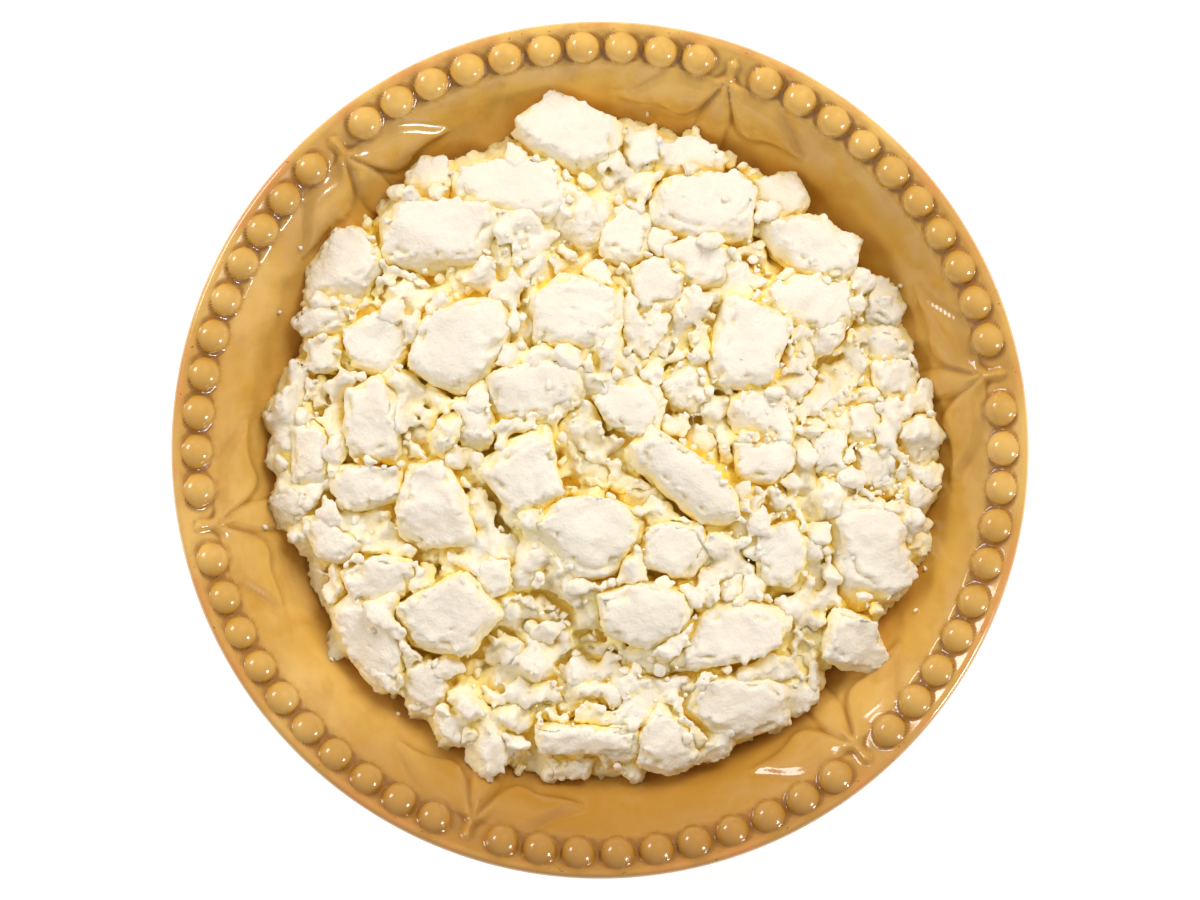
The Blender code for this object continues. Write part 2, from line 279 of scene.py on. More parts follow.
def press_beads(places, random):
    """Wrap the band inside the lip round its sixty beads."""
    span = math.tau / SPRIGS
    first = (span - (BEADS_PER_SPAN - 1) * BEAD_PITCH) / 2.0
    turned = np.arctan2(places[:, 1], places[:, 0]) - FIRST_STEM
    sector = np.floor(turned / span)
    nearest = np.clip(np.round((turned - sector * span - first) / BEAD_PITCH), 0, BEADS_PER_SPAN - 1)
    number = ((sector.astype(int) % SPRIGS) * BEADS_PER_SPAN + nearest.astype(int))
    count = SPRIGS * BEADS_PER_SPAN
    grow = 1.0 + random.uniform(-0.03, 0.025, count)[number]
    slip = random.uniform(-0.0018, 0.0018, count)[number]
    angle = FIRST_STEM + sector * span + first + nearest * BEAD_PITCH + slip
    slope = math.atan((LIP_HEIGHT - WELL_HEIGHT) / (LIP_RADIUS - LIP_ROUNDING - WELL_RADIUS))
    outward = np.stack([np.cos(angle), np.sin(angle), np.zeros_like(angle)], 1)
    along = np.stack([-np.sin(angle), np.cos(angle), np.zeros_like(angle)], 1)
    up = np.array([0.0, 0.0, 1.0])
    up_slope = outward * math.cos(slope) + up * math.sin(slope)
    out = up * math.cos(slope) - outward * math.sin(slope)
    middle = outward * BEAD_RING_RADIUS + up * BEAD_HEIGHT
    offset = places - middle
    a, b, c = ((offset * way).sum(1) for way in (up_slope, along, out))
    distance = np.hypot(a, b) + 1e-9
    inner_reach, outer_reach = 1.06 * BEAD_RADIUS, 1.16 * BEAD_RADIUS
    swing = np.minimum(distance / inner_reach, 1.0) * math.radians(86.0)
    round_reach = BEAD_RADIUS * grow * np.sin(swing)
    on_bead = middle + ((up_slope * a[:, None] + along * b[:, None]) / distance[:, None]
                        * round_reach[:, None] + out * (BEAD_RADIUS * grow * np.cos(swing))[:, None])
    share = 1.0 - smooth_step(inner_reach, outer_reach, distance)
    share[(c < -1.5 * MM) | (c > 1.5 * MM)] = 0.0
    return places + (on_bead - places) * share[:, None]


def smooth_line(at, stations, values):
    """A smooth line through the values at the stations, level at both ends."""
    slopes = np.gradient(values, stations)
    index = np.clip(np.searchsorted(stations, at) - 1, 0, len(stations) - 2)
    width = stations[index + 1] - stations[index]
    share = np.clip((at - stations[index]) / width, 0.0, 1.0)
    rise = values[index + 1] - values[index]
    square, cube = share * share, share * share * share
    bend = slopes[index] * (share - 2.0 * square + cube) + slopes[index + 1] * (cube - square)
    return values[index] + (3.0 * square - 2.0 * cube) * rise + width * bend


def leaf_cover(along, across, stations, middles, halves):
    """How far inside a leaf each point lies, given its middle line and half-width at stations."""
    stations = np.array(stations) * MM
    middle = smooth_line(along, stations, np.array(middles) * MM)
    half = smooth_line(along, stations, np.array(halves) * MM)
    inside = (along > stations[0]) & (along < stations[-1])
    return np.where(inside, half - np.abs(across - middle), OFF_THE_LEAF)


def press_sprigs(places):
    """Raise three leaves and their stem on the inner wall at each of the six places."""
    span = math.tau / SPRIGS
    radius = np.hypot(places[:, 0], places[:, 1])
    turned = np.arctan2(places[:, 1], places[:, 0]) - FIRST_STEM
    turned = turned - np.round(turned / span) * span
    x = np.degrees(turned) * ARC_PER_DEGREE
    side = np.abs(x) + np.where(x > 0.0, 0.0, 0.6 * MM)
    side_leaf = leaf_cover(side, radius + 0.2 * MM * np.sin(x / (2.1 * MM)), *SIDE_LEAF)
    middle_leaf = leaf_cover(radius, x + 0.3 * MM * np.sin(radius / (2.4 * MM)), *MIDDLE_LEAF)
    on_stem = (radius > 79.0 * MM) & (radius < 87.5 * MM)
    stem = np.where(on_stem, 1.25 * MM - np.abs(x), OFF_THE_LEAF)
    stem -= np.clip(radius - 85.8 * MM, 0.0, None)
    side_rise = (0.72 * smooth_step(-0.3 * MM, 1.1 * MM, side_leaf)
                 + 0.28 * smooth_step(0.0, 3.6 * MM, side_leaf))
    middle_rise = (0.6 * smooth_step(-0.2 * MM, 1.2 * MM, middle_leaf)
                   + 0.25 * smooth_step(0.0, 3.4 * MM, middle_leaf))
    stem_rise = smooth_step(-0.1 * MM, 1.2 * MM, stem)
    rise = np.maximum.reduce([side_rise, middle_rise, stem_rise])
    meeting = np.exp(-((side_leaf - 0.1 * MM) / (0.55 * MM)) ** 2)
    meeting = meeting * smooth_step(0.0, 0.8 * MM, middle_leaf)
    around = np.exp(-((side_leaf + 0.7 * MM) / (0.6 * MM)) ** 2) * (middle_leaf < 0.0)
    rise = rise - 0.55 * meeting - 0.16 * around
    on_inside = places[:, 2] > 0.5 * (inner_height(radius) + outer_height(radius))
    rise[~on_inside | (radius > 87.6 * MM)] = 0.0
    slope = np.where(radius < WELL_RADIUS, INNER_CURVE * (WELL_HEIGHT - INSIDE_FLOOR) / WELL_RADIUS
                     * (radius / WELL_RADIUS) ** (INNER_CURVE - 1.0), 0.58)
    outward = places * np.array([1.0, 1.0, 0.0]) / np.maximum(radius, MM)[:, None]
    out = (np.array([0.0, 0.0, 1.0]) - outward * slope[:, None]) / np.hypot(1.0, slope)[:, None]
    return places + out * (LEAF_HEIGHT * rise)[:, None]


def hollowness(mesh):
    """How hollow the surface is at each point, per millimetre: above 0 in creases, below on crests."""
    places, normals = points_of(mesh), read_all(mesh.vertices, "normal")
    ends = read_all(mesh.edges, "vertices", 2, int)
    both_ways = ((ends[:, 0], ends[:, 1]), (ends[:, 1], ends[:, 0]))
    total, count = np.zeros(len(places)), np.zeros(len(places))
    for here, there in both_ways:
        way = places[there] - places[here]
        bend = 2.0 * (way * normals[here]).sum(1) / (way * way).sum(1)
        np.add.at(total, here, bend)
        np.add.at(count, here, 1.0)
    hollow = total / np.maximum(count, 1.0) * MM
    for _ in range(2):
        spread, count = hollow.copy(), np.ones(len(places))
        for here, there in both_ways:
            np.add.at(spread, here, hollow[there])
            np.add.at(count, here, 1.0)
        hollow = spread / count
    return hollow


def add_value(mesh, name, values):
    """Keep one number for each point, which a finish can read by its name."""
    mesh.attributes.new(name, "FLOAT", "POINT").data.foreach_set("value", values.astype(np.float32))


def grain_group():
    """Noise over a piece, as fine as its scale: the grain that every finish shares."""
    group = bpy.data.node_groups.new("grain", "ShaderNodeTree")
    inside, outside = group.nodes.new("NodeGroupInput"), group.nodes.new("NodeGroupOutput")
    place, speckle = group.nodes.new("ShaderNodeTexCoord"), group.nodes.new("ShaderNodeTexNoise")
    group.links.new(place.outputs["Object"], speckle.inputs["Vector"])
    for name in ("Scale", "Detail", "Roughness"):
        group.interface.new_socket(name=name, in_out="INPUT", socket_type="NodeSocketFloat")
        group.links.new(inside.outputs[name], speckle.inputs[name])
    group.interface.new_socket(name="Grain", in_out="OUTPUT", socket_type="NodeSocketFloat")
    group.links.new(speckle.outputs["Fac"], outside.inputs["Grain"])
    return group


GRAIN = grain_group()


class Wiring:
    """A finish under construction: its nodes, and the short words that place and join them."""

    def __init__(self, name):
        self.finish = bpy.data.materials.new(name)
        self.finish.use_nodes = True
        self.tree = self.finish.node_tree
        self.shader = self.tree.nodes["Principled BSDF"]

    def add(self, kind, settings=None, **inputs):
        """Place one node, with its settings and its inputs' values or links."""
        node = self.tree.nodes.new(kind)
        for key, value in (settings or {}).items():
            setattr(node, key, value)
        for key, value in inputs.items():
            self.feed(node.inputs[key.replace("_", " ")], value)
        return node

    def feed(self, socket, value):
        """Link an output to a socket, or set the socket's own value."""
        if isinstance(value, bpy.types.NodeSocket):
            self.tree.links.new(value, socket)
        else:
            socket.default_value = value

    def give(self, **inputs):
        """Feed the finish's own shader."""
        for key, value in inputs.items():
            self.feed(self.shader.inputs[key.replace("_", " ")], value)

    def mix(self, share, first, second, blend="MIX"):
        """Mix two colours."""
        node = self.tree.nodes.new("ShaderNodeMix")
        node.data_type = "RGBA"
        node.blend_type = blend
        self.feed(node.inputs["Factor"], share)
        for socket, colour in ((node.inputs[6], first), (node.inputs[7], second)):
            self.feed(socket, (*colour, 1.0) if isinstance(colour, tuple) else colour)
        return node.outputs[2]

    def ramp(self, value, low, high, out_low=0.0, out_high=1.0):
        """Spread a value's range over another one."""
        node = self.add("ShaderNodeMapRange", {"interpolation_type": "SMOOTHSTEP"}, Value=value)
        ends = {"From Min": low, "From Max": high, "To Min": out_low, "To Max": out_high}
        for key, number in ends.items():
            node.inputs[key].default_value = number
        return node.outputs["Result"]

    def sum(self, first, second, operation="ADD"):
        """One sum of two values."""
        node = self.tree.nodes.new("ShaderNodeMath")
        node.operation = operation
        self.feed(node.inputs[0], first)
        self.feed(node.inputs[1], second)
        return node.outputs[0]

    def grain(self, scale, detail=3.0, roughness=0.5):
        """Place the shared grain at this finish's own scale."""
        return self.add("ShaderNodeGroup", {"node_tree": GRAIN}, Scale=scale, Detail=detail,
                        Roughness=roughness).outputs["Grain"]

    def value(self, name):
        """A number kept at each point of the mesh."""
        return self.add("ShaderNodeAttribute", {"attribute_name": name}).outputs["Fac"]


def glaze_finish():
    """Caramel glaze: pooled and dark in the creases, thin and pale on the crests, specked at its lip,
    with painted shade at the front and on the outside and painted light at the back.
    """
    glaze = Wiring("caramel_glaze")
    hollow, lip, bare = glaze.value("hollow"), glaze.value("lip"), glaze.value("bare_clay")
    drift = glaze.ramp(glaze.grain(34.0, 3.0), 0.34, 0.66)
    colour = glaze.mix(drift, GLAZE_DARK, GLAZE_PALE)
    place = glaze.add("ShaderNodeTexCoord").outputs["Object"]
    side = glaze.add("ShaderNodeSeparateXYZ", Vector=place).outputs["Y"]
    # Painted shade: the glaze darker towards the front of the bowl; painted light: paler towards the
    # back.
    colour = glaze.mix(glaze.ramp(side, -40.0 * MM, -85.0 * MM), colour, FRONT_WALL_PAINTED_SHADE)
    colour = glaze.mix(glaze.ramp(side, 58.0 * MM, 85.0 * MM, 0.0, 0.8), colour, BACK_WALL_PAINTED_LIGHT)
    streak = glaze.ramp(glaze.grain(120.0, 4.0, 0.6), 0.42, 0.75, 0.0, 0.5)
    colour = glaze.mix(streak, colour, STREAK_BROWN)
    colour = glaze.mix(glaze.ramp(hollow, 0.02, 0.50, 0.0, 0.9), colour, POOLED_BROWN)
    colour = glaze.mix(glaze.ramp(hollow, -0.10, -0.55, 0.0, 0.3), colour, THIN_TAN)
    # Painted shade on the outside wall, against the light bounced from the bright floor.
    colour = glaze.mix(glaze.value("outside"), colour, OUTSIDE_PAINTED_SHADE, "MULTIPLY")
    broken = glaze.sum(lip, glaze.ramp(glaze.grain(85.0, 4.0, 0.65), 0.42, 0.66), "MULTIPLY")
    colour = glaze.mix(glaze.sum(broken, 0.75, "MULTIPLY"), colour, BURNT_LIP)
    speck = glaze.ramp(glaze.grain(900.0, 2.0), 0.70, 0.76)
    speck = glaze.sum(speck, glaze.ramp(lip, 0.0, 1.0, 0.06, 0.85), "MULTIPLY")
    colour = glaze.mix(speck, colour, IRON_SPECK)
    clay = glaze.mix(glaze.ramp(glaze.grain(700.0, 3.0), 0.35, 0.7), CLAY_PALE, CLAY_DARK)
    colour = glaze.mix(bare, colour, clay)
    gloss = glaze.ramp(glaze.grain(60.0, 3.0), 0.3, 0.7, 0.16, 0.26)
    gloss = glaze.sum(gloss, glaze.sum(bare, 0.5, "MULTIPLY"))
    glaze.give(Base_Color=colour, Roughness=gloss, Coat_Weight=glaze.ramp(bare, 0.0, 1.0, 0.9, 0.0),
               Coat_Roughness=0.07, IOR=1.5)
    height = glaze.sum(glaze.grain(55.0, 2.0), glaze.sum(glaze.grain(420.0, 2.0), 0.10, "MULTIPLY"))
    bump = glaze.add("ShaderNodeBump", Strength=0.35, Distance=1.2 * MM, Height=height)
    glaze.give(Normal=bump.outputs["Normal"])
    return glaze.finish


bowl = throw_bowl()
bowl.name = "glazed_bowl"
bowl_points = press_sprigs(points_of(bowl.data))
bowl_points = press_beads(bowl_points, np.random.default_rng(7))
bowl_radius = np.hypot(bowl_points[:, 0], bowl_points[:, 1])
wobble = WOBBLE * np.sin(3.0 * np.arctan2(bowl_points[:, 1], bowl_points[:, 0]) + 0.7)
bowl_points[:, 2] += wobble * smooth_step(60.0 * MM, 90.0 * MM, bowl_radius)
move_points(bowl.data, bowl_points)
bowl.data.shade_smooth()
add_value(bowl.data, "hollow", hollowness(bowl.data))
bowl_height = bowl_points[:, 2]
at_lip = smooth_step(87.0 * MM, 88.6 * MM, bowl_radius) * smooth_step(44.0 * MM, 52.0 * MM, bowl_height)
add_value(bowl.data, "lip", at_lip)
# The outside wall, which gets painted shade in the glaze.
under_wall = bowl_height < 0.5 * (inner_height(bowl_radius) + outer_height(bowl_radius))
add_value(bowl.data, "outside", under_wall * (1.0 - smooth_step(45.0 * MM, 52.0 * MM, bowl_height)))
at_foot = smooth_step(33.6 * MM, 34.2 * MM, bowl_radius) * smooth_step(41.8 * MM, 41.2 * MM, bowl_radius)
add_value(bowl.data, "bare_clay", at_foot * (1.0 - smooth_step(0.5 * MM, 1.6 * MM, bowl_height)))
bowl.data.materials.append(glaze_finish())
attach(bowl, "root")
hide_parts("bowl")


# The heap's bed: the small lumps of goat cheese deep in the heap, pressed and stuck together
# by their own weight. It fills the bowl out to the heap's uneven edge, and the larger lumps
# lie on it.
HEAP_RADIUS = 67.0 * MM
HEAP_EDGE_HEIGHT, HEAP_CROWN_HEIGHT, HEAP_FALL = 38.5 * MM, 50.0 * MM, 2.4
CORE_SINK = 4.4 * MM
BED_GRAIN = 0.87 * MM
# A kind of crumb: how many, the smallest and largest in millimetres, and a lean to the small.
BED_LUMPS, BED_CHUNKS = (420, 4.5, 9.0, 1.2), (300, 7.0, 13.0, 1.1)
SWELL, RIPPLE, BITE, CURD, GRIT = 7.0 * MM, 3.2 * MM, 3.6 * MM, 1.9 * MM, 1.05 * MM
CREAM, PALE_CREAM, ROSY_CREAM = (0.795, 0.72, 0.605), (0.82, 0.755, 0.645), (0.80, 0.70, 0.61)
# Painted shade for the cheese: golden tones for curd that sees less and less of the sky.
WARM_PAINTED_SHADE, GOLDEN_PAINTED_SHADE, DEEP_GOLD_PAINTED_SHADE = (0.865, 0.755, 0.50), (0.93, 0.785, 0.34), (1.0, 0.79, 0.185)
# The edge's radius in millimetres, by the angle in degrees.
HEAP_EDGE = {-180: 68, -165: 66, -150: 66, -135: 67, -120: 67, -105: 69, -90: 65, -75: 69, -60: 69,
             -45: 66, -38: 68, -30: 69, -15: 70, 0: 70, 15: 69, 30: 66, 45: 65, 60: 67, 75: 66,
             90: 67, 105: 65, 120: 67, 135: 69, 150: 69, 165: 66, 180: 68}


def heap_height(radius):
    """Height of the heap between its larger lumps."""
    fall = HEAP_CROWN_HEIGHT - HEAP_EDGE_HEIGHT
    return HEAP_CROWN_HEIGHT - fall * (radius / HEAP_RADIUS) ** HEAP_FALL


def heap_edge(angle):
    """Radius of the heap's uneven edge at an angle."""
    return np.interp(np.degrees(angle), list(HEAP_EDGE), list(HEAP_EDGE.values())) * MM


def noise_at(places, size, shift):
    """Noise at each place, with bumps of about the size given."""
    return np.array([noise.noise(Vector(place) / size + shift) for place in places])


def curdle(mesh, coarse, fine, edge_fine, seed):
    """Roughen a cheese surface: slow swells, fine curd, and more crumbling along the broken edges."""
    places, normals = points_of(mesh), read_all(mesh.vertices, "normal")
    hollow = hollowness(mesh)
    crest = smooth_step(0.05, 0.35, np.abs(hollow))
    outer_edge = smooth_step(0.03, 0.22, -hollow)
    shift = Vector((seed * 7.3, seed * 3.1, seed * 5.7))
    swell = noise_at(places, SWELL, shift) + 0.45 * noise_at(places, RIPPLE, shift)
    rough = np.abs(noise_at(places, CURD, shift)) * 1.3 - 0.35 + 0.5 * noise_at(places, GRIT, -shift)
    amount = coarse * swell + (fine + edge_fine * crest) * rough
    amount -= 1.5 * edge_fine * outer_edge * smooth_step(0.0, 0.45, noise_at(places, BITE, -shift))
    move_points(mesh, places + normals * amount[:, None])


def cheese_finish(name, light_reach):
    """Fresh goat cheese: creamy white and matt, with golden painted shade in the gaps where little sky
    is seen.
    """
    cheese = Wiring(name)
    openness = cheese.value("openness")
    cloud = cheese.ramp(cheese.grain(110.0, 3.0), 0.35, 0.65)
    colour = cheese.mix(cloud, CREAM, PALE_CREAM)
    rosy = cheese.ramp(cheese.grain(45.0, 2.0), 0.5, 0.7, 0.0, 0.30)
    colour = cheese.mix(rosy, colour, ROSY_CREAM)
    # Painted shade: the less sky a point sees, the more golden and deeper its colour.
    for opened, shut, painted_shade in ((0.88, 0.56, WARM_PAINTED_SHADE), (0.56, 0.30, GOLDEN_PAINTED_SHADE), (0.27, 0.11, DEEP_GOLD_PAINTED_SHADE)):
        colour = cheese.mix(cheese.ramp(openness, opened, shut), colour, painted_shade)
    cheese.give(Base_Color=colour, Roughness=cheese.ramp(cheese.grain(500.0), 0.3, 0.7, 0.55, 0.78),
                Subsurface_Weight=0.4, Subsurface_Radius=(1.0, 0.88, 0.72),
                Subsurface_Scale=light_reach, Specular_IOR_Level=0.3)
    curd = cheese.grain(430.0, 4.0, 0.6)
    pits = cheese.ramp(cheese.grain(1500.0, 2.0), 0.35, 0.55)
    height = cheese.sum(curd, cheese.sum(pits, 0.22, "MULTIPLY"))
    bump = cheese.add("ShaderNodeBump", Strength=0.28, Distance=1.1 * MM, Height=height)
    cheese.give(Normal=bump.outputs["Normal"])
    return cheese.finish


def place_cheese(piece, name, coat):
    """Finish a piece of the heap: its name, its smooth shading, and its place on the frame."""
    piece.name = name
    piece.data.shade_smooth()
    piece.data.materials.append(coat)
    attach(piece, "root")
    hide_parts("cheese_heap")


def select_only(pieces):
    """Select some objects and nothing else, with the first of them active."""
    bpy.ops.object.select_all(action="DESELECT")
    for piece in pieces:
        piece.select_set(True)
    bpy.context.view_layer.objects.active = pieces[0]


def apply_remesh(piece, grain):
    """Turn a piece into one even skin of small faces."""
    skin = piece.modifiers.new("even skin", "REMESH")
    skin.mode = "VOXEL"
    skin.voxel_size = grain
    select_only([piece])
    bpy.ops.object.modifier_apply(modifier=skin.name)


def keep_outer_skin(piece):
    """Take away the small closed hollows that a remesh leaves inside a piece."""
    select_only([piece])
    top = int(points_of(piece.data)[:, 2].argmax())
    bpy.ops.object.mode_set(mode="EDIT")
    bpy.ops.mesh.select_all(action="DESELECT")
    bpy.ops.object.mode_set(mode="OBJECT")
    piece.data.vertices[top].select = True
    bpy.ops.object.mode_set(mode="EDIT")
    bpy.ops.mesh.select_linked()
    bpy.ops.mesh.select_all(action="INVERT")
    bpy.ops.mesh.delete(type="VERT")
    bpy.ops.object.mode_set(mode="OBJECT")


def build_core():
    """A ball pressed into the bowl, its top a low dome and its underside the bowl's own curve."""
    bpy.ops.object.select_all(action="DESELECT")
    bpy.ops.mesh.primitive_uv_sphere_add(segments=144, ring_count=72, radius=1.0)
    made = bpy.context.object
    ball = points_of(made.data)
    angle = np.arctan2(ball[:, 1], ball[:, 0])
    share = np.hypot(ball[:, 0], ball[:, 1])
    radius = (heap_edge(angle) - 1.5 * MM) * share
    top = heap_height(radius) - CORE_SINK
    under = np.minimum(inner_height(radius) + 0.5 * MM, top - MM)
    upper = smooth_step(-0.1, 0.25, ball[:, 2])
    height = under + (top - under) * upper
    move_points(made.data, np.stack([radius * np.cos(angle), radius * np.sin(angle), height], 1))
    return made


def join(pieces):
    """Join pieces into the first of them."""
    select_only(pieces)
    bpy.ops.object.join()
    return pieces[0]


CELL = 0.6 * MM
HALF_FIELD = 84.0 * MM
FALL_RADIUS = 74.0 * MM
ROUNDS, TRIES_PER_CRUMB = 14, 7
CELLS = int(2 * HALF_FIELD / CELL) + 1


def cell_of(place):
    """The cell of the height field that a distance along X or Y falls in."""
    return np.clip(((place + HALF_FIELD) / CELL + 0.5).astype(int), 0, CELLS - 1)


def read_field(field, spots):
    """The height field's values at the spots."""
    return field[cell_of(spots[..., 1]), cell_of(spots[..., 0])]


def raise_ground(ground, places):
    """Lift the height field to a mesh's points."""
    for shift in ((0, 0), (0.25, 0.25), (-0.25, 0.25), (0.25, -0.25), (-0.25, -0.25)):
        columns = cell_of(places[:, 0] + shift[0] * MM)
        rows = cell_of(places[:, 1] + shift[1] * MM)
        np.maximum.at(ground, (rows, columns), places[:, 2])


def blurred(field, cells):
    """The height field averaged over a square of cells, twice."""
    for axis in (0, 1, 0, 1):
        pad = [(cells, cells) if a == axis else (0, 0) for a in (0, 1)]
        total = np.cumsum(np.pad(field, pad, mode="edge"), axis=axis)
        width = 2 * cells
        high = np.take(total, range(width, total.shape[axis]), axis=axis)
        low = np.take(total, range(0, total.shape[axis] - width), axis=axis)
        field = (high - low) / width
    return field


def crumb_shape(random, detail, facets, lobes):
    """One crumb a unit across: a ball broken flat on a few sides, with lumps and dents."""
    bpy.ops.object.select_all(action="DESELECT")
    bpy.ops.mesh.primitive_ico_sphere_add(subdivisions=detail, radius=0.5)
    made = bpy.context.object
    places = points_of(made.data) * random.uniform(0.75, 1.2, 3)
    for _ in range(facets):
        way = random.normal(size=3)
        way /= np.linalg.norm(way)
        over = np.clip(places @ way - random.uniform(0.24, 0.40), 0.0, None)
        places -= over[:, None] * way
    shift = Vector(random.uniform(-50.0, 50.0, 3))
    swell = np.array([noise.noise(Vector(place) * 2.6 + shift)
                      + 0.6 * noise.noise(Vector(place) * 6.0 + shift) for place in places])
    places *= (1.0 + lobes * swell)[:, None]
    sides = read_all(made.data.polygons, "vertices", 3, int)
    bpy.data.objects.remove(made)
    return places, sides


def scatter(shapes, spots, sizes, random):
    """Copies of the shapes at the spots, each turned its own way, as one mesh."""
    all_places, all_sides, start = [], [], 0
    for spot, size in zip(spots, sizes):
        places, sides = shapes[random.integers(len(shapes))]
        turn = np.array(Euler(random.uniform(0.0, math.tau, 3)).to_matrix())
        stretch = random.uniform(0.75, 1.25, 3)
        all_places.append((places * size * stretch) @ turn.T + spot)
        all_sides.append(sides + start)
        start += len(places)
    mesh = bpy.data.meshes.new("crumbs")
    mesh.from_pydata(np.concatenate(all_places).tolist(), [], np.concatenate(all_sides).tolist())
    made = bpy.data.objects.new("crumbs", mesh)
    bpy.context.scene.collection.objects.link(made)
    return made


# Where the cheese has gone to fine crumbs: a spot and its reach in millimetres, and how much.
CRUMBLY_PLACES = [(37, 5, 9, 1.0), (55, 8, 9, 1.0), (50, 20, 9, 1.0), (66, 0, 7, 1.6),
                  (67, -12, 6, 1.6), (66, 12, 6, 1.4), (-17, 41, 8, 1.2), (13, 21, 8, 1.0),
                  (-3, 4, 7, 1.0), (-62, 20, 5, 0.8), (-66, 6, 5, 0.8), (38, -10, 7, 0.9),
                  (5, -52, 12, 0.9), (-12, -47, 9, 0.9), (27, 15, 6, 0.9), (-12, -33, 6, 0.8),
                  (40, 22, 8, 1.0), (30, -25, 8, 0.9), (-35, 7, 5, 0.8), (12, 28, 6, 0.7)]


def crumb_spots(ground, kind, random, fill, rolls, perch, lift, lowest=-0.1 * MM):
    """Let a kind of crumb fall in rounds, roll to a low place and rest there on those before."""
    count, small, large, lean = kind
    sizes = np.sort(small + (large - small) * random.uniform(0.0, 1.0, count) ** lean)[::-1] * MM
    rest, rest_sizes = [], []
    eight = [(math.cos(turn * math.tau / 8), math.sin(turn * math.tau / 8)) for turn in range(8)]
    steps = np.array([(0.0, 0.0), *eight])
    for batch in np.array_split(sizes, ROUNDS):
        wide = blurred(ground, 8)
        near = blurred(ground, 1)
        wanted = len(batch) * TRIES_PER_CRUMB
        radius = np.sqrt(random.uniform(0.0, 1.0, wanted)) * FALL_RADIUS
        angle = random.uniform(-math.pi, math.pi, wanted)
        spots = np.stack([radius * np.cos(angle), radius * np.sin(angle)], 1)
        size = np.resize(batch, wanted)
        chance = np.full(wanted, fill)
        for x, y, reach, gain in CRUMBLY_PLACES:
            away = np.hypot(spots[:, 0] - x * MM, spots[:, 1] - y * MM) / (reach * MM)
            chance = np.maximum(chance, gain * np.exp(-away * away))
        chance *= radius < heap_edge(angle) + random.uniform(-2.0, 1.2, wanted) * MM
        for _ in range(rolls):
            tries = spots[:, None, :] + steps[None] * (0.5 * size)[:, None, None]
            level = read_field(near, tries)
            level[:, 1:] += 0.05 * size[:, None]
            spots = tries[np.arange(wanted), level.argmin(1)]
        low = read_field(wide, spots) - read_field(near, spots)
        chance *= smooth_step(lowest - 1.1 * MM, lowest + 1.1 * MM, low) * 0.97 + 0.015
        edge = heap_edge(np.arctan2(spots[:, 1], spots[:, 0])) + 1.5 * MM
        chance *= np.hypot(spots[:, 0], spots[:, 1]) < edge
        draw = random.uniform(size=wanted) ** (1.0 / np.maximum(chance, 1e-6))
        kept = np.argsort(draw)[::-1][:len(batch)]
        spots, size = spots[kept], size[kept]
        tries = spots[:, None, :] + steps[None] * (0.32 * size)[:, None, None]
        level = read_field(ground, tries)
        height = (1.0 - perch) * level.mean(1) + perch * level.max(1) + lift * size
        rest.append(np.column_stack([spots, height]))
        rest_sizes.append(size)
        for ring in (0.0, 0.2, 0.4):
            dome = math.sqrt(0.25 - ring * ring) * 0.85
            for way in steps if ring else steps[:1]:
                columns = cell_of(spots[:, 0] + way[0] * ring * size)
                rows = cell_of(spots[:, 1] + way[1] * ring * size)
                np.maximum.at(ground, (rows, columns), height + dome * size)
    return np.concatenate(rest), np.concatenate(rest_sizes)


lump_coat = cheese_finish("goat_cheese", 1.3 * MM)
crumb_coat = cheese_finish("goat_cheese_crumbs", 0.8 * MM)
dice = np.random.default_rng(5)
axis = np.linspace(-HALF_FIELD, HALF_FIELD, CELLS)
across = np.hypot(axis[None, :], axis[:, None])
ground = inner_height(np.minimum(across, WELL_RADIUS))
chunk_shapes = [crumb_shape(dice, 4, 13, 0.10) for _ in range(16)]
nugget_shapes = [crumb_shape(dice, 3, 11, 0.13) for _ in range(24)]

core = build_core()
inside = across < heap_edge(np.arctan2(axis[:, None], axis[None, :])) - 2.0 * MM
ground[inside] = np.maximum(ground[inside], heap_height(across[inside]) - CORE_SINK)
bed_spots = crumb_spots(ground, BED_LUMPS, dice,
                        fill=0.9, rolls=1, perch=0.3, lift=0.20)
chunk_spots = crumb_spots(ground, BED_CHUNKS, dice,
                          fill=0.9, rolls=1, perch=0.5, lift=0.10)
bed = join([core, scatter(nugget_shapes, *bed_spots, dice),
            scatter(chunk_shapes, *chunk_spots, dice)])
apply_remesh(bed, BED_GRAIN)
keep_outer_skin(bed)
curdle(bed.data, coarse=0.5 * MM, fine=0.6 * MM, edge_fine=0.7 * MM, seed=3.0)
place_cheese(bed, "packed_crumbs", lump_coat)
ground = inner_height(np.minimum(across, WELL_RADIUS))
raise_ground(ground, points_of(bed.data))


# The lumps: goat cheese broken by hand from a fresh log. Each is a chunk with a few flat
# breaks, soft crumbling edges and an outline of its own, and lies tilted among the others.
LUMP_GRAIN = 0.62 * MM
BROAD_LUMP_AREA = 145.0
LONG_SIDE = 6.5 * MM
UNDERSIDE = 0.78
RIDGE_RISE, RIDGE_DEPTH = (55.0, 68.0), 0.30
FRONT_TURN, FRONT_RISE, FRONT_DEPTH = (-135.0, -75.0), (40.0, 52.0), (0.27, 0.45)
CHIPS, CHIP_RISE, CHIP_DEPTH = 5, (0.15, 1.0), (0.78, 1.0)
EDGE_ROUNDING = 0.05
# Each step up a lump: its share of the height, how much it widens, its shift and unevenness.
LUMP_STEPS = [(0.52, 1.03 / UNDERSIDE, 0.0, 0.5), (0.26, 0.95, 0.35, 1.0), (0.22, 0.82, 0.65, 1.0)]
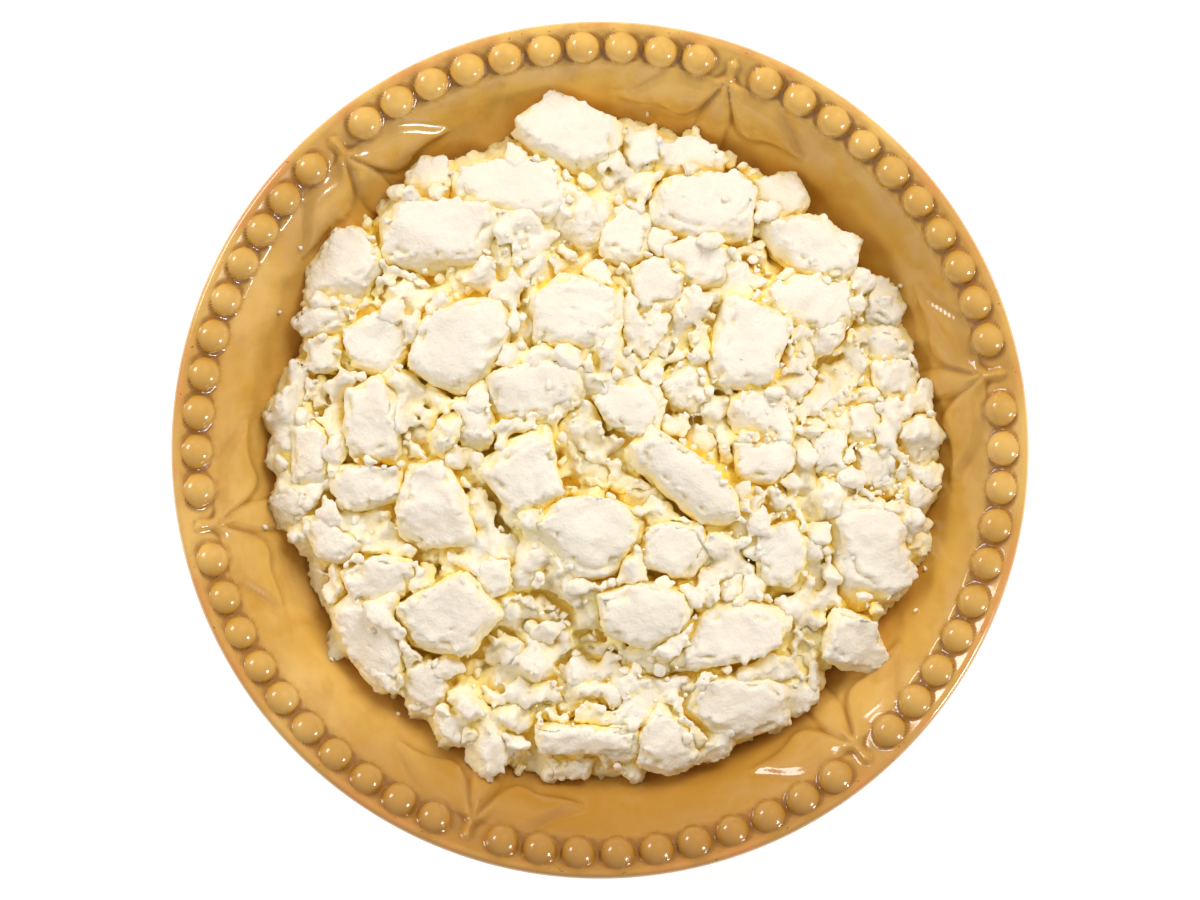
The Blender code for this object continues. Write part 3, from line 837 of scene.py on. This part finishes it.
# How far each lump stands out of the heap in millimetres, which way its top leans and how
# steeply in degrees, and its outline's corners in millimetres from the bowl's middle.
LUMPS = {
    "top_chunk": (11.0, -60, 12, [(-18.5, 69.5), (-9, 77), (4, 70.5), (2.5, 62.5), (-5, 60),
        (-14.5, 65)]),
    "back_slab": (7.5, -90, 8, [(-31.5, 59.5), (-8.5, 61.5), (-6, 52.5), (-11.5, 48.5), (-31.5, 52.5)]),
    "back_left_knob": (7.0, 200, 12, [(-42, 59.5), (-39, 63), (-32, 62.5), (-32, 54.5), (-37.5, 52),
        (-42.5, 55.5)]),
    "grey_slab": (8.0, -100, 16, [(-48, 50), (-42, 52.5), (-22, 51), (-21.5, 44), (-27, 39.5),
        (-46, 40.5)]),
    "left_shoulder": (7.5, 200, 12, [(-55, 49), (-48, 44), (-48, 39.5), (-51.5, 31.5), (-64, 31.5),
        (-64.5, 39.5), (-61, 44)]),
    "left_plate": (6.5, -80, 12, [(-66, 29), (-53.5, 30.5), (-53, 26), (-65.5, 24.5)]),
    "left_block": (5.0, 190, 8, [(-63, 24), (-55.5, 24), (-55.5, 16.5), (-63, 16.5)]),
    "left_facet": (5.5, -30, 8, [(-54.5, 25), (-48, 29), (-40, 27.5), (-40, 22), (-45, 16),
        (-54, 18.5)]),
    "boulder": (7.0, -120, 10, [(-37.5, 29), (-18, 31.5), (-21, 21), (-29.5, 12), (-41, 17.5)]),
    "left_upright": (6.5, -110, 10, [(-54.5, 11.5), (-47, 15.5), (-43, 10.5), (-43.5, -2),
        (-52.5, -2.5), (-55, 4)]),
    "edge_upright": (6.0, 185, 14, [(-66.5, 4), (-63, 7), (-59, 4), (-58.5, -8), (-65, -9), (-67, -2)]),
    "small_kite": (4.5, 60, 8, [(-31, 10.5), (-25.5, 11.5), (-21, 6), (-24, -0.5), (-29, 0)]),
    "middle_slab": (5.5, -90, 14, [(-23.5, 15.5), (-5, 19), (-4, 11.5), (-8.5, 6.5), (-22, 6.5)]),
    "left_slab": (5.5, -120, 6, [(-57.5, -4.5), (-42.5, -4), (-42, -10.5), (-54.5, -13.5),
        (-57.5, -11.5)]),
    "grey_cone": (6.5, -100, 18, [(-41, -4.5), (-33.5, -2), (-29, -10.5), (-27.5, -20.5), (-42, -20.5),
        (-43.5, -12.5)]),
    "kite": (6.5, -130, 8, [(-11.5, 5), (-8, -9.5), (-17, -16.5), (-26, -4.5)]),
    "edge_ball": (5.5, 200, 6, [(-71, -10.5), (-67, -8), (-62, -9), (-62, -13), (-65.5, -16),
        (-70, -14.5)]),
    "edge_wedge": (6.0, 210, 8, [(-64, -15), (-59, -13.5), (-51.5, -20.5), (-53.5, -24), (-61, -23.5)]),
    "front_boulder": (6.5, -95, 14, [(-15.5, -17), (-8.5, -11.5), (2, -10.5), (8.5, -15), (8.5, -20),
        (2, -26.5), (-11.5, -26.5)]),
    "rosy_block": (5.0, 100, 8, [(-2, 11.5), (2, 16), (11.5, 14.5), (14, 10.5), (12.5, 4), (2, 4.5)]),
    "slanting_slab": (7.0, -135, 16, [(6.5, 0), (11.5, 4), (28.5, -9.5), (28.5, -15), (21, -16),
        (8.5, -4.5)]),
    "right_knob": (4.5, 20, 8, [(28.5, 12.5), (35.5, 13.5), (42, 10.5), (41.5, 1), (29.5, 1.5)]),
    "right_block": (4.5, -60, 8, [(28.5, 1), (40, 2), (42, -3), (37.5, -7.5), (29, -6.5)]),
    "right_upright": (8.0, 180, 10, [(50, -10.5), (59.5, -10.5), (63, -17), (67, -27.5), (63, -32.5),
        (56.5, -35.5), (51.5, -25)]),
    "right_lump": (5.0, -60, 8, [(33.5, -17), (42, -16), (44.5, -23), (41, -29.5), (34, -27.5)]),
    "square_block": (5.5, -100, 10, [(9.5, -17), (21, -16), (24, -21), (19, -27), (9.5, -25)]),
    "left_low_slab": (6.5, -80, 12, [(-55.5, -26.5), (-46, -23), (-39, -25), (-41, -31.5),
        (-52.5, -34)]),
    "left_low_boulder": (7.0, 225, 12, [(-58.5, -35.5), (-52.5, -31.5), (-42.5, -38), (-42.5, -46),
        (-47, -52.5), (-50, -51.5), (-56.5, -40)]),
    "front_kite": (8.0, -80, 9, [(-29.5, -26), (-21.5, -35.5), (-29, -45), (-39.5, -43), (-44, -34.5)]),
    "front_left_tip": (5.5, 230, 10, [(-42, -46), (-36.5, -44), (-32.5, -50.5), (-35.5, -60),
        (-41.5, -54.5)]),
    "front_ball": (5.0, -90, 6, [(-27, -26.5), (-24, -22), (-19.5, -23), (-19, -29.5), (-23, -32),
        (-27, -30.5)]),
    "front_block": (7.0, -110, 10, [(-2, -31.5), (8.5, -28.5), (18.5, -31.5), (17, -40), (10.5, -43),
        (2, -40)]),
    "long_lump": (7.0, 120, 9, [(14, -48.5), (21, -35.5), (29.5, -31.5), (40, -34.5), (40, -40),
        (28.5, -45)]),
    "wedge": (10.0, -90, 9, [(50.5, -34), (58.5, -37), (64, -50), (48, -45)]),
    "layered_slab": (7.5, -80, 14, [(18, -49.5), (27, -48.5), (42, -52.5), (41, -60), (29.5, -63),
        (19, -57.5)]),
    "front_boss": (8.0, -60, 9, [(13.5, -53), (19, -59), (22, -66), (18, -70.5), (9, -69), (8.5, -62)]),
    "front_cube": (6.0, -90, 12, [(0, -59), (8.5, -57.5), (8.5, -67), (1, -69)]),
    "front_slab": (7.5, -90, 10, [(-13.5, -60), (0, -59), (7.5, -61), (6.5, -66), (-12.5, -65.5)]),
    "front_chip": (4.5, -90, 10, [(-11, -66), (-1.5, -66.5), (-3, -71.5), (-10, -71)]),
    "front_point": (5.5, -100, 12, [(-25, -61), (-18, -60), (-17, -66), (-21.5, -69), (-25.5, -65)]),
    "back_stub": (6.5, 180, 8, [(5, 69), (11.5, 70), (12.5, 62.5), (10.5, 57.5), (5, 58.5)]),
    "back_plate": (6.5, -90, 8, [(10.5, 65), (21, 67), (27, 62.5), (25, 59), (11.5, 59)]),
    "back_boulder": (8.0, -110, 12, [(10.5, 56.5), (29.5, 58.5), (33.5, 54.5), (31.5, 46), (21, 45),
        (11, 49)]),
    "back_right_crumble": (6.5, 30, 10, [(32.5, 57.5), (42, 60.5), (45, 54.5), (43, 49), (34.5, 50)]),
    "right_shoulder": (8.0, -120, 12, [(34.5, 49), (46, 50), (55.5, 45), (54.5, 37.5), (48, 36.5),
        (37.5, 43)]),
    "right_slab": (5.5, -100, 14, [(33.5, 33.5), (42, 37), (55, 35.5), (54.5, 27.5), (46, 25),
        (36.5, 26)]),
    "right_chip": (5.0, 0, 8, [(56.5, 37.5), (63, 37.5), (66, 31.5), (63, 25.5), (57, 28)]),
    "back_middle": (4.5, 90, 8, [(0, 49), (5, 52.5), (10.5, 51), (10.5, 42), (4, 38.5), (-0.5, 44)]),
    "grey_block": (4.5, -90, 10, [(5, 37.5), (11.5, 40.5), (18, 37.5), (17, 29), (8.5, 27.5)]),
    "back_nub": (4.5, -60, 8, [(13.5, 42), (21, 45), (28.5, 42), (27, 35.5), (17, 34.5)]),
    "lozenge": (7.0, 180, 8, [(27, 33), (41, 28), (34.5, 12.5), (23, 14.5)]),
    "centre_block": (7.0, -100, 11, [(-15.5, 31.5), (-8.5, 36.5), (4, 33.5), (5, 26), (-1, 21),
        (-13.5, 22)]),
    "right_crumb_1": (4.5, 0, 8, [(45, 4), (52.5, 4.5), (53.5, -5.5), (47, -7)]),
    "right_crumb_2": (4.5, 10, 8, [(58.5, 18.5), (67, 20), (68, 11), (60.5, 10)]),
    "right_crumb_3": (4.5, 10, 8, [(53, 9), (59.5, 10.5), (60.5, 2), (54, 1)]),
    "right_crumb_4": (4.5, -20, 8, [(54, 0), (66, 1), (67, -6.5), (56.5, -9.5)]),
}


def roughened(corners, random):
    """An outline with one more corner, off the line, in each of its longer sides."""
    made, middle = [], corners.mean(0)
    for here, there in zip(corners, np.roll(corners, -1, axis=0)):
        made.append(here)
        length = np.hypot(*(there - here))
        if length > LONG_SIDE:
            between = here + random.uniform(0.35, 0.65) * (there - here)
            outward = (between - middle) / np.hypot(*(between - middle))
            made.append(between + random.uniform(-0.02, 0.09) * length * outward)
    return np.array(made)


def draw_in(scale, shift, jitter, random):
    """Scale the selected corners about the lump's middle, shift them, and pull each one about."""
    bpy.ops.transform.resize(value=(scale, scale, 1.0), center_override=(0.0, 0.0, 0.0))
    bpy.ops.transform.translate(value=(shift[0], shift[1], 0.0))
    edited = bmesh.from_edit_mesh(bpy.context.object.data)
    for corner in edited.verts:
        if corner.select:
            corner.co += Vector(random.uniform(-jitter, jitter, 3))
    bmesh.update_edit_mesh(bpy.context.object.data)


def cut_off(place, way):
    """Break the lump that is being edited along a plane, and close the break."""
    bpy.ops.mesh.select_all(action="SELECT")
    bpy.ops.mesh.bisect(plane_co=place, plane_no=way, use_fill=True, clear_outer=True)


def break_lump(stand, lean_turn, lean, outline, random):
    """One lump: an outline pulled up in steps, broken flat on top and at the corners, and laid down."""
    corners = roughened(np.array(outline) * MM, random)
    middle = corners.mean(0)
    corners = 1.05 * (corners - middle)
    reach = np.hypot(corners[:, 0], corners[:, 1]).mean()
    thickness = 1.35 * reach
    bpy.ops.object.select_all(action="DESELECT")
    bpy.ops.mesh.primitive_circle_add(vertices=len(corners), radius=reach, fill_type="NGON")
    made = bpy.context.object
    for point, (x, y) in zip(made.data.vertices, corners):
        point.co = (UNDERSIDE * x, UNDERSIDE * y, -thickness)
    made.data.update()
    bpy.ops.object.mode_set(mode="EDIT")
    bpy.ops.mesh.select_all(action="SELECT")
    turn = math.radians(lean_turn)
    away = -0.17 * reach * Vector((math.cos(turn), math.sin(turn)))
    jitter = 0.05 * reach
    for height, width, shift, unevenness in LUMP_STEPS:
        pull((0.0, 0.0, height * thickness))
        draw_in(width, shift * away, unevenness * jitter, random)
    bpy.ops.mesh.select_all(action="SELECT")
    bpy.ops.mesh.normals_make_consistent(inside=False)
    cut_off((0.0, 0.0, -0.02 * reach), way_of(turn, math.radians(90.0 - lean)))
    ridge = turn + random.uniform(-1.2, 1.2)
    rise = math.radians(random.uniform(*RIDGE_RISE))
    cut_off(RIDGE_DEPTH * reach * way_of(ridge, rise), way_of(ridge, rise))
    front = math.radians(random.uniform(*FRONT_TURN))
    rise = math.radians(random.uniform(*FRONT_RISE))
    cut_off(random.uniform(*FRONT_DEPTH) * reach * way_of(front, rise), way_of(front, rise))
    for _ in range(CHIPS):
        ridge, rise = random.uniform(0.0, math.tau), random.uniform(*CHIP_RISE)
        depth = random.uniform(*CHIP_DEPTH) * reach * math.cos(rise) + 0.06 * reach
        cut_off(depth * way_of(ridge, rise), way_of(ridge, rise))
    bpy.ops.mesh.select_all(action="SELECT")
    bpy.ops.mesh.bevel(offset=EDGE_ROUNDING * reach, segments=2, affect="EDGES")
    bpy.ops.object.mode_set(mode="OBJECT")
    radius = np.hypot(*middle)
    fall = math.atan((heap_height(radius) - heap_height(radius + MM)) / MM)
    downhill = Vector((-middle[1], middle[0], 0.0))
    made.matrix_world = (Matrix.Translation((middle[0], middle[1], heap_height(radius) + stand * MM))
                         @ Matrix.Rotation(0.8 * fall, 4, downhill))
    bpy.ops.object.transform_apply(location=True, rotation=True, scale=True)
    apply_remesh(made, LUMP_GRAIN)
    return made


def outline_area(outline):
    """Area inside an outline, in square millimetres."""
    x, y = np.array(outline).T
    return 0.5 * abs(np.dot(x, np.roll(y, -1)) - np.dot(y, np.roll(x, -1)))


lump_dice = np.random.default_rng(21)
broad, middling = [], []
for stand, lean_turn, lean, outline in LUMPS.values():
    lump = break_lump(stand, lean_turn, lean, outline, lump_dice)
    (broad if outline_area(outline) > BROAD_LUMP_AREA else middling).append(lump)
broad_lumps, middling_lumps = join(broad), join(middling)
curdle(broad_lumps.data, coarse=0.8 * MM, fine=0.26 * MM, edge_fine=0.75 * MM, seed=1.0)
curdle(middling_lumps.data, coarse=0.75 * MM, fine=0.30 * MM, edge_fine=0.75 * MM, seed=2.0)
place_cheese(broad_lumps, "broad_lumps", lump_coat)
place_cheese(middling_lumps, "middling_lumps", lump_coat)


# The loose crumbs: what breaks off as the lumps are parted. Nuggets of up to 7.5 mm and curds
# roll down into the gaps and stick together there, and single crumbs and grains lie on top.
NUGGET_GRAIN = 0.56 * MM
LOW_PLACE = 0.8 * MM
NUGGETS, CURDS = (330, 3.6, 7.5, 1.2), (620, 1.7, 3.2, 1.2)
CRUMBS, GRAINS = (110, 1.2, 2.6, 1.4), (150, 0.6, 1.3, 1.3)
raise_ground(ground, points_of(broad_lumps.data))
raise_ground(ground, points_of(middling_lumps.data))
crumb_shapes = [crumb_shape(dice, 2, 6, 0.20) for _ in range(12)]
grain_shapes = [crumb_shape(dice, 1, 2, 0.25) for _ in range(8)]

nugget_spots = crumb_spots(ground, NUGGETS, dice,
                           fill=0.5, rolls=2, perch=0.15, lift=0.0, lowest=LOW_PLACE)
curd_spots = crumb_spots(ground, CURDS, dice,
                         fill=0.4, rolls=2, perch=0.3, lift=0.10, lowest=LOW_PLACE)
nuggets = join([scatter(nugget_shapes, *nugget_spots, dice),
                scatter(crumb_shapes, *curd_spots, dice)])
apply_remesh(nuggets, NUGGET_GRAIN)
curdle(nuggets.data, coarse=0.2 * MM, fine=0.22 * MM, edge_fine=0.25 * MM, seed=4.0)
loose_spots = crumb_spots(ground, CRUMBS, dice,
                          fill=0.12, rolls=4, perch=0.4, lift=0.08)
crumbs = scatter(crumb_shapes, *loose_spots, dice)
grain_spots = crumb_spots(ground, GRAINS, dice,
                          fill=0.03, rolls=5, perch=0.5, lift=0.2)
grains = scatter(grain_shapes, *grain_spots, dice)
place_cheese(nuggets, "nuggets", crumb_coat)
place_cheese(crumbs, "crumbs", crumb_coat)
place_cheese(grains, "grains", crumb_coat)


# The stray crumbs: a few that fell clear of the heap and stuck to the glaze, each with its
# place and size in millimetres.
STRAYS = [(-71.2, -16.4, 1.9), (-68.1, 29.2, 1.3), (-63.5, 42.8, 1.0), (-57.2, -44.5, 1.2),
          (-44.0, -52.5, 1.4), (-43.0, -56.2, 1.0), (10.1, 71.5, 1.3), (21.0, 66.9, 1.0),
          (44.4, -53.1, 1.3), (63.9, 34.9, 1.4), (67.0, -34.0, 1.3), (69.1, -25.2, 1.0)]
stray_spots = []
for x, y, size in STRAYS:
    stray_spots.append((x * MM, y * MM, inner_height(math.hypot(x, y) * MM) + 0.35 * size * MM))
stray_sizes = [size * MM for _, _, size in STRAYS]
strays = scatter(crumb_shapes, np.array(stray_spots), stray_sizes, dice)
place_cheese(strays, "stray_crumbs", crumb_coat)


# The light that reaches each point of the cheese, kept with the mesh: the sky seen over the
# nearest lumps and crumbs. It tells the finish where to paint the golden shade.
WAYS = 12
REACHES = np.array([0.9, 1.6, 2.6, 4.0, 6.0, 9.0, 13.0]) * MM


def openness_at(ground, places):
    """The share of the sky that a level spot at each place would see over the height field."""
    total = np.zeros(len(places))
    for way in range(WAYS):
        turn = math.tau * (way + 0.5) / WAYS
        blocked = np.zeros(len(places))
        for reach in REACHES:
            columns = cell_of(places[:, 0] + reach * math.cos(turn))
            rows = cell_of(places[:, 1] + reach * math.sin(turn))
            blocked = np.maximum(blocked, (ground[rows, columns] - places[:, 2]) / reach)
        total += 1.0 / (1.0 + blocked * blocked)
    return total / WAYS


for piece in (bed, broad_lumps, middling_lumps, nuggets, crumbs, grains, strays):
    add_value(piece.data, "openness", openness_at(ground, points_of(piece.data)))
